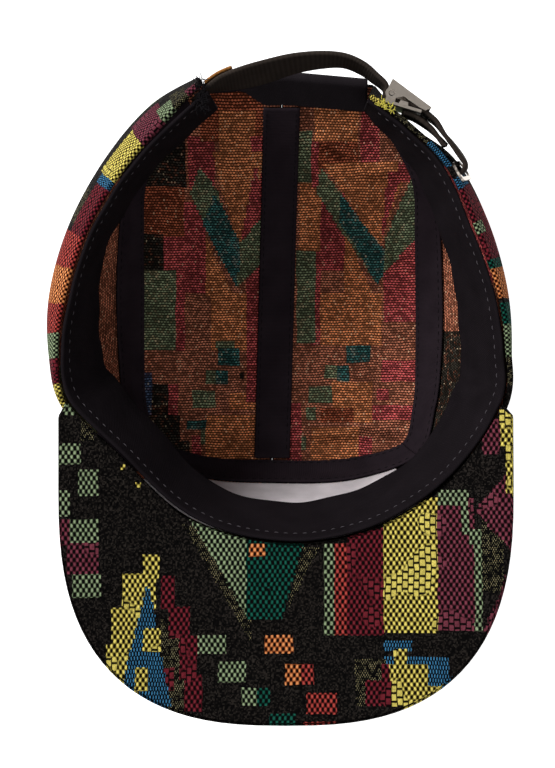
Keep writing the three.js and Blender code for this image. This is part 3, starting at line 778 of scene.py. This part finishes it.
crown_blocks = [
    ("gold", -14, -6.5, -19, -7), ("gold", -10, -3.5, 2, 5.5), ("gold", -15, -4, 6.5, 17),
    ("wine", -21.5, -19.5, -20, -7), ("wine", -20, -15, -38, -19), ("wine", -6.5, -3, -26, 4),
    ("wine", -24, -19, -31, -20), ("brown_red", -28, -19.5, -41, -31), ("wine", -18.5, -13, -51, -41),
    ("brown_red", -16, -3, -62, -50), ("gold", -12, -4.5, -56, -45), ("wine", -5.5, -2, -51, -40),
    ("dark", -28, -18.8, -54, -41), ("dark", -30, -24, -31.5, -24), ("sage", -30, -21.5, -24, -7),
    ("gold wedge", (-15, -31), (-15, -18.5), (-9.3, -18.5)),
    ("gold wedge", (-13.5, -48), (-2, -48), (-8.3, -28.5)),
    ("wine wedge", (-4.5, -46), (-2, -35), (-8, -29)),
    ("wine wedge", (-15, -46), (-12.6, -39), (-13.5, -46)),
    ("sage wedge", (-18.6, -40), (-16, -45), (-8.5, -20.2)),
    ("sage wedge", (-16, -45), (-12.2, -40.5), (-8.5, -20.2)),
    ("teal wedge", (-15.8, -34), (-13, -39.8), (-8.4, -19.8)),
    ("teal wedge", (-13, -39.8), (-7.9, -30.2), (-8.4, -19.8)),
    ("sage wedge", (-8.4, -20.2), (-8, -29.5), (-2.8, -26)),
    ("sage wedge", (-8, -29.5), (-2.8, -35.8), (-2.8, -26)), ("teal", -12.5, -7.8, -7.5, -4),
    ("sage", -13, -9, -9, -7.5), ("sage", -15, -13, -2.8, 0), ("teal", -13, -10.3, -2.8, 0),
    ("dark", -8, -6.8, -2.3, -1.2), ("sage", -18, -13, 1.5, 5), ("teal", -19, -14.8, 7.5, 9.6),
    ("wine", -23, -21, 0, 6.5), ("dark", -28, -23, 0, 12), ("dark", -23, -20.5, 6.5, 13),
    ("dark", -22, -18.5, 12, 16), ("wine", -18, -16, 11, 16), ("sage", -16, -14.8, 9.6, 13),
    ("blue", -28.2, -26.3, -2.5, 6.5), ("gold", 4.3, 8.8, -42, -28), ("wine", 8.8, 14.2, -40, -24),
    ("gold", 9, 22.2, -19, -8), ("gold wedge", (14, -32), (14, -18.5), (20.5, -18.5)),
    ("wine", 22.4, 30, -31, -13), ("wine", 7, 9.2, -28, -8), ("sage", 4.2, 7.8, -28, -8.3),
    ("gold", 7.5, 16.5, -58, -50), ("wine", 16.8, 21, -57, -44), ("brown_red", 4, 16.5, -50, -45),
    ("sage", 4.2, 6.8, -52, -42), ("wine", 6.8, 8.5, -50, -41),
    ("gold wedge", (9.5, -46), (27.5, -46), (21.4, -29)), ("wine", 24.8, 28, -46, -42),
    ("wine wedge", (26, -44), (23, -44), (21.8, -30)), ("sage wedge", (8, -40), (9, -45.5), (21, -21)),
    ("sage wedge", (9, -45.5), (13.2, -40), (21, -21)),
    ("teal wedge", (13, -34.5), (13, -40), (21.2, -20.8)),
    ("teal wedge", (13, -40), (22.4, -28.3), (21.2, -20.8)),
    ("teal wedge", (22.4, -28.3), (22.4, -23), (21.2, -20.8)),
    ("sage wedge", (22.4, -23), (22.4, -30), (29.5, -31)),
    ("sage wedge", (22.4, -30), (28.8, -45), (29.5, -31)), ("teal", 14.5, 19.5, -8, -4.3),
    ("sage", 10, 12.5, -4, -0.8), ("teal", 12.5, 15, -4, -0.3), ("sage", 6.6, 11.6, 0.5, 4),
    ("sage", 5.8, 8.2, 5, 7.4), ("wine", 21, 23.6, 0.8, 3.6), ("wine", 22, 29, -5, -0.3),
    ("wine", 20, 29, 4.5, 7.5), ("gold", 11.6, 20, -0.3, 8), ("wine", 2, 5, 4, 17),
    ("sage", 5, 6.2, 11, 14), ("wine", 17, 20, 11, 16), ("brown_red", 9, 16, 5, 8), ("gold", 7, 17, 9, 17),
]


# Weaves. Sizes are in millimetres, and a high value is yarn that shows.
yarn_wide, yarn_tall = 2.2, 3.3
speck_wide, speck_tall = 0.9, 1.65
# Columns and rows are counted from here, so that none is below nothing. It is an even number.
count_start = 400


def lattice(s, x, y, width, height):
    across = s.math("COSINE", s.times(x, 2 * math.pi / width))
    along = s.math("COSINE", s.times(y, 2 * math.pi / height))
    return s.times(across, along)


def weave_parts(s, x, y, flat):
    step = s.math("DIVIDE", x, yarn_wide)
    column = s.math("FLOOR", step)
    odd = s.times(s.math("MODULO", s.plus(column, count_start), 2.0), 0.5)
    rise = s.plus(s.math("DIVIDE", y, yarn_tall), odd)
    row = s.math("FLOOR", rise)
    cell = s.scatter(s.combine(column, row))
    beside = s.math("ABSOLUTE", s.math("SUBTRACT", s.math("FRACT", step), 0.5))
    above = s.math("ABSOLUTE", s.math("SUBTRACT", s.math("FRACT", rise), 0.5))
    side_gap = s.ramp(beside, 0.34, 0.46, 1.0, 0.1)
    row_gap = s.ramp(above, 0.3, 0.44, 1.0, 0.0)
    bricks = s.times(side_gap, row_gap)
    eyes = lattice(s, x, y, yarn_wide, yarn_tall)
    net = s.ramp(eyes, 0.1, 0.5, 1.0, 0.0)
    oval = s.ramp(eyes, -0.9, 0.25, 1.0, 0.0)
    patch = s.ramp(s.noise(flat, 0.06, 1.0), 0.56, 0.6)
    basket = s.blend_value(patch, net, bricks)
    open_net = s.ramp(eyes, -0.1, 0.35, 1.0, 0.0)
    dots = s.ramp(lattice(s, x, y, yarn_wide / 2, yarn_tall), -0.2, 0.5)
    grain = s.scatter(s.combine(s.cell(x, speck_wide), s.cell(y, speck_tall / 2)))
    spots = s.ramp(lattice(s, x, y, speck_wide, speck_tall), 0.1, 0.6)
    specks = s.times(spots, s.ramp(grain, 0.3, 0.7))
    # Height of the raised parts, which sets where the yarn gets painted light and where painted shade.
    lit_raised = s.blend_value(patch, oval, s.plus(s.times(bricks, 0.5), 0.2))
    weaves = {
        "basket": (basket, lit_raised), "net": (net, oval), "open": (open_net, oval), "dots": (dots, dots),
        "specks": (specks, grain),
    }
    return weaves, cell, grain


def chart_colour(s, blocks, spot, start, colours):
    colour = start
    for block in blocks:
        kind = block[0].split()
        if len(kind) == 1:
            left, right, back, front = block[1:]
            wide, deep = 2 / (right - left), 2 / (front - back)
            offset = (-(left + right) / 2 * wide, -(back + front) / 2 * deep, 0)
            away = s.vector("ABSOLUTE", s.vector("MULTIPLY_ADD", spot, (wide, deep, 0), offset))
            parts = s.split(away)
            inside = s.math("LESS_THAN", s.math("MAXIMUM", parts[0], parts[1]), 1.0)
        else:
            corners = [np.array(corner, float) for corner in block[1:]]
            middle = sum(corners) / 3
            sides = []
            for a, b in zip(corners, corners[1:] + corners[:1]):
                across = np.array([b[1] - a[1], a[0] - b[0]])
                across = across * np.sign(across @ (middle - a))
                sides.append(s.vector("DOT_PRODUCT", spot, (*across, -across @ a)))
            low = s.math("MINIMUM", s.math("MINIMUM", sides[0], sides[1]), sides[2])
            inside = s.math("GREATER_THAN", low, 0.0)
        colour = s.blend(inside, colour, colours[kind[0]])
    return colour


# The place on the chart, in whole yarns of 1 mm
def chart_spot(s, x, y, wrap=None):
    across = s.times(s.plus(s.math("FLOOR", x), 0.5), 0.5)
    along = s.times(s.plus(s.math("FLOOR", y), 0.5), 0.5)
    if wrap:
        across = s.math("WRAP", across, wrap[1], wrap[0])
        along = s.math("WRAP", along, wrap[3], wrap[2])
    return s.combine(across, along, 1.0)


def woven_front(name, blocks, wrap=None):
    s = Shader(name)
    flat = s.chart()
    x, y, _ = s.split(flat)
    x = s.plus(x, s.sway(flat, 0.12, 1.6))
    y = s.plus(y, s.sway(flat, 0.1, 1.2))
    weaves, cell, grain = weave_parts(s, x, y, flat)
    fine = s.scatter(s.combine(s.cell(x, 0.5), s.cell(y, 0.5)))
    fine = s.ramp(fine, 0.45, 1.0)
    base = s.blend(fine, ground, ground_light)
    fibre = s.noise(s.vector("MULTIPLY", flat, (3.0, 1.2, 1.0)), 1.6, 3.0, 0.6)
    loose = s.plus(s.times(cell, 0.3), s.ramp(fibre, 0.25, 0.75, 0.35, 1.1))
    colours = {}
    for yarn, (weave, hollow_shade, lit_raised) in yarns.items():
        cover, height = weaves[weave]
        # The yarn's colour runs from painted shade in the hollows to painted light on the raised parts.
        shade = s.blend(s.times(height, loose, clamp=True), hollow_shade, lit_raised)
        colours[yarn] = s.blend(cover, ground, shade)
    colour = chart_colour(s, blocks, chart_spot(s, x, y, wrap), base, colours)
    height = s.plus(s.times(weaves["net"][1], 0.6), s.times(weaves["basket"][0], 0.4))
    height = s.plus(height, s.times(s.plus(fine, fibre), 0.2))
    s.bump(height, 0.3, 0.8)
    return s.finish(colour, cloth_roughness, specular=weave_specular)


def woven_reverse(name, blocks):
    s = Shader(name)
    flat = s.chart()
    x, y, _ = s.split(flat)
    x = s.plus(x, s.sway(flat, 0.08, 2.0))
    y = s.plus(y, s.sway(flat, 0.07, 2.0))
    dot_wide, dot_tall = 1.3, 1.05
    row = s.math("FLOOR", s.plus(s.math("DIVIDE", y, dot_tall), 0.5))
    odd = s.times(s.math("MODULO", s.plus(row, count_start), 2.0), 0.5)
    column = s.math("FLOOR", s.math("SUBTRACT", s.plus(s.math("DIVIDE", x, dot_wide), 0.5), odd))
    knots = lattice(s, x, y, dot_wide, 2 * dot_tall)
    grain = s.scatter(s.combine(column, row))
    hue = s.scatter(s.combine(row, column, 5.0))
    lines = s.math("COSINE", s.times(y, 2 * math.pi / dot_tall))
    ribbed = s.math("MULTIPLY_ADD", lines, 0.6, s.times(knots, 0.5))
    lit = s.ramp(ribbed, -0.25, 0.6, 0.0, 1.0)
    worn = s.ramp(s.noise(flat, 0.06, 3.0), 0.3, 0.7, 0.6, 1.25)
    strength = s.times(s.ramp(grain, 0.05, 0.95, 0.25, 1.2), worn)
    shown = s.math("MULTIPLY_ADD", lit, strength, 0.03, clamp=True)
    colour = chart_colour(s, blocks, chart_spot(s, x, y), reverse_yarns["rust"], reverse_yarns)
    shade = s.scaled(colour, 0.08)
    colour = s.blend(s.times(s.ramp(hue, 0.6, 0.9), 0.16), colour, linear(176, 92, 60))
    colour = s.blend(shown, shade, s.scaled(colour, 2.1))
    spark = s.times(s.ramp(grain, 0.94, 0.97), s.ramp(knots, 0.1, 0.5))
    colour = s.blend(s.times(spark, 0.55), colour, linear(214, 190, 156))
    s.bump(s.times(knots, s.ramp(grain, 0.0, 1.0, 0.4, 1.0)), 0.22, 0.8)
    return s.finish(colour, cloth_roughness, specular=weave_specular)


side_reverse_blocks = [
    ("wine", -10, 40, 0, 14), ("brown_red", 40, 60, 0, 30), ("dark", 10, 30, 20, 60),
    ("teal", 180, 200, 0, 12), ("dark", 200, 260, 0, 60), ("wine", 190, 215, 20, 40),
    ("sage", 70, 90, 10, 30), ("dark", 120, 180, 10, 60),
]
looks.update({
    "weave": woven_front("woven_front", peak_blocks, wrap=(-46, 46, 2, 68)),
    "weave_left": woven_front("woven_left", left_blocks),
    "weave_right": woven_front("woven_right", right_blocks),
    "reverse": woven_reverse("woven_reverse", crown_blocks),
    "reverse_side": woven_reverse("woven_side_reverse", side_reverse_blocks),
})


# Soft folds of the top panels, which rise to the inside: middle, direction, length, width and height
folds = [
    (-34, -8, 20, 26, 6, 0.8), (-17, -13, 12, 28, 5, 2.4), (-26, -23, 30, 18, 5, 2.0),
    (-24, 34, 80, 30, 8, 0.5), (20, -10, -12, 24, 6, 2.6), (40, -18, -4, 32, 6, 3.0),
    (54, -12, 30, 18, 5, 2.2), (23, -21, -4, 20, 5, 2.2), (28, 96, -38, 36, 6, 2.8),
    (46, 89, -8, 18, 5, 2.1), (40, 79, -25, 14, 4, 1.1), (30, 104, 8, 22, 6, 0.8),
    (-38, 82, 50, 26, 6, 0.8), (-22, 96, -12, 24, 6, 0.7), (-44, 62, 72, 24, 6, 0.7),
    (20, 30, 70, 30, 8, 0.5),
]


def soft_folds(left):
    def shape(u, w):
        place = top_panel(left)(u, w)
        x, y = place[..., 0], place[..., 1]
        height = 0.12 + 0.06 * np.sin(x * 0.21 + 1) * np.sin(y * 0.17) + 0.06 * np.sin(x * 0.11 - y * 0.29)
        for fold_x, fold_y, turn, length, width, rise in folds:
            c, s = math.cos(math.radians(turn)), math.sin(math.radians(turn))
            along = (x - fold_x) * c + (y - fold_y) * s
            across = (y - fold_y) * c - (x - fold_x) * s + 0.012 * along ** 2
            height = height + rise * np.exp(-(along / length * 2) ** 2 - (across / width * 2) ** 2)
        tape = tape_width / 2 + 1.5
        from_centre = abs(x - centre_x(y)) - tape
        from_side = w * top_width / tape_slope - tape
        from_ends = np.minimum(np.where(left, u, 1 - u), np.where(left, 1 - u, u)) * top_length - tape - 2
        free = np.minimum(np.minimum(from_centre, from_side), from_ends)
        return height * ease(free / 6) + 0.1 * (1 - ease(free / 6))
    return shape


wall_depth = 90
roll_depth = 4.2
groove_place = 6.2


# The hem is turned over and sewn, so the panel is thicker along the rim
def rolled_hem(start, end):
    def swell(u, v):
        t = mix(start, end, u)
        depth = v * wall_depth
        roll = np.exp(-(depth / roll_depth) ** 4)
        groove = 0.25 * np.exp(-(depth - groove_place) ** 2)
        room = 0.25 + 0.7 * ease((t - 0.45) / 0.5) * ease((1.9 - t) / 0.8)
        return room * roll - groove * 0.5, 0.35 * roll - groove
    return swell


def band_shape(u, v):
    return (0.25 * np.sin(u * 61) + 0.2 * np.sin(u * 143 + 1)) * (0.3 + v)


peak_rows = (0.66, 0.76)
peak_depth = 70
groove_depth = 0.18
groove_width = 0.9


def peak_shape(u, v):
    return -groove_depth * sum(np.exp(-((v - row) * peak_depth / groove_width) ** 2) for row in peak_rows)


# Pieces
def plan_chart(u, v, middle):
    return middle[..., 0], -middle[..., 1]


def side_chart(start, end):
    def chart(u, v, middle):
        t = mix(start, end, u)
        return section_step * t, v * 100
    return chart


def run_chart(length, width):
    return lambda u, v, middle: (u * length, v * width)


# A dressed piece stands for the node of the same cloth and rides on the cap
def dress(name, node, slot, point, columns, rows, thickness, faces, chart, **form):
    faces = [looks[face] for face in faces]
    obj = cloth(name, point, columns, rows, thickness, faces, chart, **form)
    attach(obj, "cap")
    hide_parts(node)


def tape(name, point, columns, rows, chart, lift):
    dress("tape_" + name, "seam_tape_" + name, "band_cloth", point, columns, rows, tape_cloth, ("tape",),
          chart, lift=lift)


# The looks of the inner face, the outer face and the edge
outer_faces = ("reverse", "weave", "weave")
left_faces = ("reverse_side", "weave_left", "weave_left")
right_faces = ("reverse_side", "weave_right", "weave_right")
front_faces = ("reverse_side", "weave", "weave")
front_overlap = 1.3 * seam_step

dress("side_panel_left_cloth", "side_panel_left", "weave", wall_panel(0, front_left - seam_step),
      150, 80, panel_cloth, left_faces, side_chart(0, front_left), swell=rolled_hem(0, front_left))
dress("front_panel_cloth", "front_panel", "weave",
      wall_panel(front_left - front_overlap, front_right + front_overlap),
      90, 50, panel_cloth, front_faces, side_chart(front_left, front_right))
dress("side_panel_right_cloth", "side_panel_right", "weave",
      wall_panel(front_right + seam_step, last_section), 150, 80, panel_cloth, right_faces,
      side_chart(front_right, last_section), swell=rolled_hem(front_right, last_section))
for name, left in (("top_panel_left", True), ("top_panel_right", False)):
    dress(name + "_cloth", name, "weave", top_panel(left), 150, 60, panel_cloth, outer_faces,
          plan_chart, shape=soft_folds(left))
dress("peak_cloth", "peak", "weave", peak_point, 240, 140, peak_thickness, ("weave",),
      plan_chart, shape=peak_shape)
dress("sweatband_cloth", "sweatband", "band_cloth", band_point, 300, 20, band_cloth, ("band",),
      run_chart(460, band_width), shape=band_shape)

# The front tape lies over the ends of the side tapes
tape_end = 0.45
tape_gap = 0.004
tape_reach = 0.02
over_lift = tape_lift + 0.35
tape_runs = (
    ("left", tape_end, front_left - tape_gap, tape_lift),
    ("right", front_right + tape_gap, last_section - tape_end, tape_lift),
    ("front", front_left - tape_reach, front_right + tape_reach, over_lift),
)
for name, start, end, lift in tape_runs:
    length = (end - start) * section_step
    tape(name, ring_tape(start, end), 120, 16, run_chart(length, tape_width), lift)
for name, t in (("front_left", front_left), ("front_right", front_right)):
    tape(name, wall_tape(t), 8, 60, run_chart(tape_width, 80), tape_lift)
tape("centre", centre_tape, 150, 10, run_chart(150, tape_width), tape_lift)
dress("backing_felt", "front_backing", "backing", backing_point, 80, 40, 1.0, ("backing",),
      run_chart(90, 80), lift=tape_lift)
dress("binding_cloth", "back_binding", "band_cloth", binding_point, 60, 40, 1.0, ("binding",),
      run_chart(66, 24))
dress("strap_cloth", "strap", "strap_cloth", strap_point(strap_rows, 0, 25, strap_width), 300, 12,
      strap_thickness, ("strap",), run_chart(170, strap_width))
dress("holder_cloth", "clasp_holder", "strap_cloth", strap_point(holder_rows, 0, 5, strap_width - 5),
      40, 10, holder_thickness, ("strap",), run_chart(18, 20))
dress("tab_leather_piece", "strap_tab", "tab", strap_point(strap_rows, 1.12, 2.7, strap_width - 4),
      30, 16, 1.2, ("tab",), run_chart(14, 17), lift=strap_thickness / 2 + gap + 0.9)

# Stitching. A kind of stitch has its length, its space and its thread's radius.
peak_stitch = (2.6, 0.7, 0.24)
band_stitch = (2.0, 1.7, 0.16)
tape_stitch = (2.2, 0.9, 0.17)
band_row = 0.15
black_thread = twill("black_thread", linear(20, 18, 20), rib=0.5, slant=1.0, light=1.6)
grey_thread = twill("grey_thread", linear(80, 76, 80), rib=0.5, slant=1.0, light=1.3)
for k, row in enumerate(peak_rows):
    path, up = row_on(peak_point, peak_thickness - 2 * groove_depth, row, 0.03, 600)
    stitches(f"peak_topstitch_{k + 1}", path, up, *peak_stitch, black_thread)
path, up = row_on(band_point, band_cloth, band_row, 0.012, 900)
wave = band_shape(np.linspace(0.012, 0.988, 900), band_row)
stitches("band_topstitch", path + up * wave[:, None], up, *band_stitch, grey_thread)
for name, start, end, lift in tape_runs:
    for edge, v in (("inner", 0.88), ("outer", 0.12)):
        path, up = row_on(ring_tape(start, end), tape_cloth, v, 0.01, 500, lift)
        stitches(f"tape_{name}_{edge}_stitch", path, up, *tape_stitch, black_thread)
for edge, v in (("left", 0.1), ("right", 0.9)):
    path, up = row_on(centre_tape, tape_cloth, v, 0.01, 400, tape_lift)
    stitches(f"tape_centre_{edge}_stitch", path, up, *tape_stitch, black_thread)


# Loose threads: fine tubes along bent lines
line_places = 9


def threads(name, lines, radius, look):
    points = []
    for line in lines:
        ahead = unit(np.gradient(line, axis=0))
        beside = unit(np.cross(ahead, np.array([0.31, 0.17, 0.93])))
        points.append(line[:, None] + ring_around(beside, np.cross(beside, ahead)) * radius)
    tubes(name, points, line_places, look)


def bent_lines(seed, count, middle, spread, length, lift):
    rng = np.random.default_rng(seed)
    lines = []
    for _ in range(count):
        start = middle + rng.uniform(-1, 1, 3) * spread
        turn = rng.uniform(0, 2 * math.pi)
        bend = rng.uniform(-0.5, 0.5)
        reach = rng.uniform(0.5, 1.0) * length
        share = np.linspace(0, 1, line_places)
        way = turn + bend * share * 3
        step = np.stack([np.cos(way), np.sin(way), lift * np.sin(share * 3)], axis=-1) * reach / len(share)
        lines.append(start + np.cumsum(step, axis=0))
    return lines


black_end = hem_point(0.12)
yellow_end = hem_point(17.5)
yellow_thread = twill("yellow_thread", linear(206, 196, 84), rib=0.5, slant=1.0, light=1.2)
# Each bunch has its seed, count, middle, spread, length, lift, radius and look
bunches = (
    ("frayed_threads", 3, 120, black_end + (1.0, -4.0, 0.2), (2.2, 6.0, 0.5), 3.2, 0.12, 0.13, black_thread),
    ("yellow_threads", 8, 20, yellow_end + (-1.2, 1.2, 0.1), (1.8, 1.4, 0.2), 2.0, 0.1, 0.14, yellow_thread),
    ("yellow_ends", 5, 20, yellow_end + (1.6, -0.6, 0.1), (1.8, 1.4, 0.2), 2.0, 0.1, 0.14, yellow_thread),
)
for name, seed, count, middle, spread, length, lift, radius, look in bunches:
    threads(name, bent_lines(seed, count, middle, spread, length, lift), radius, look)


# Metal
def brushed(name):
    s = Shader(name)
    fine = s.noise(s.vector("MULTIPLY", s.place(), (0.8, 0.8, 9.0)), 1.5, 2.0)
    rough = s.ramp(fine, 0.3, 0.7, 0.3, 0.36)
    return s.finish(linear(188, 178, 167), rough, metallic=1.0, specular=0.5)


steel = brushed("brushed_metal")
for node in ("clasp_base", "clasp_pin", "clasp_lever", "slot_rim"):
    obj = bpy.data.objects[node]
    for slot in obj.material_slots:
        slot.material = steel

# Floor, camera and lights. The camera is far enough above the rim to take in the view's width there.
floor_glow = 0.85
world_light = 0.28
view_distance = 1100
view_width = 213.46
cap_middle = (0, 0, 0.05)
floor_mesh = bpy.data.meshes.new("floor")
far = 6
floor_mesh.from_pydata([(-far, -far, 0), (far, -far, 0), (far, far, 0), (-far, far, 0)], [], [(0, 1, 2, 3)])
floor = add("floor", floor_mesh)
floor_look = Shader("plain_floor")
floor_look.surface.inputs["Emission Color"].default_value = (1, 1, 1, 1)
floor_look.surface.inputs["Emission Strength"].default_value = floor_glow
floor_mesh.materials.append(floor_look.finish((0.9, 0.9, 0.9, 1), 0.9))

camera = bpy.data.cameras.new("camera")
camera.sensor_fit = "HORIZONTAL"
camera.sensor_width = 36
camera.lens = camera.sensor_width * view_distance / view_width
viewer = add("camera", camera)
viewer.location = (*metres([0, 0, 0])[:2], (rim_height + view_distance) / 1000)
bpy.context.scene.camera = viewer


def area_light(name, place, target, size, power):
    lamp = bpy.data.lights.new(name, "AREA")
    lamp.shape = "DISK"
    lamp.size = size
    lamp.energy = power
    obj = add(name, lamp)
    obj.location = place
    obj.rotation_euler = (Vector(target) - Vector(place)).to_track_quat("-Z", "Y").to_euler()


area_light("soft_top", (0.3, -0.5, 1.6), cap_middle, 1.0, 5)
area_light("soft_side", (-1.1, 0.8, 1.15), cap_middle, 0.6, 33)
world = bpy.data.worlds.new("studio")
bpy.context.scene.world = world
world.use_nodes = True
world.node_tree.nodes["Background"].inputs[0].default_value = (1, 1, 1, 1)
world.node_tree.nodes["Background"].inputs[1].default_value = world_light
bpy.context.scene.view_settings.view_transform = "Standard"
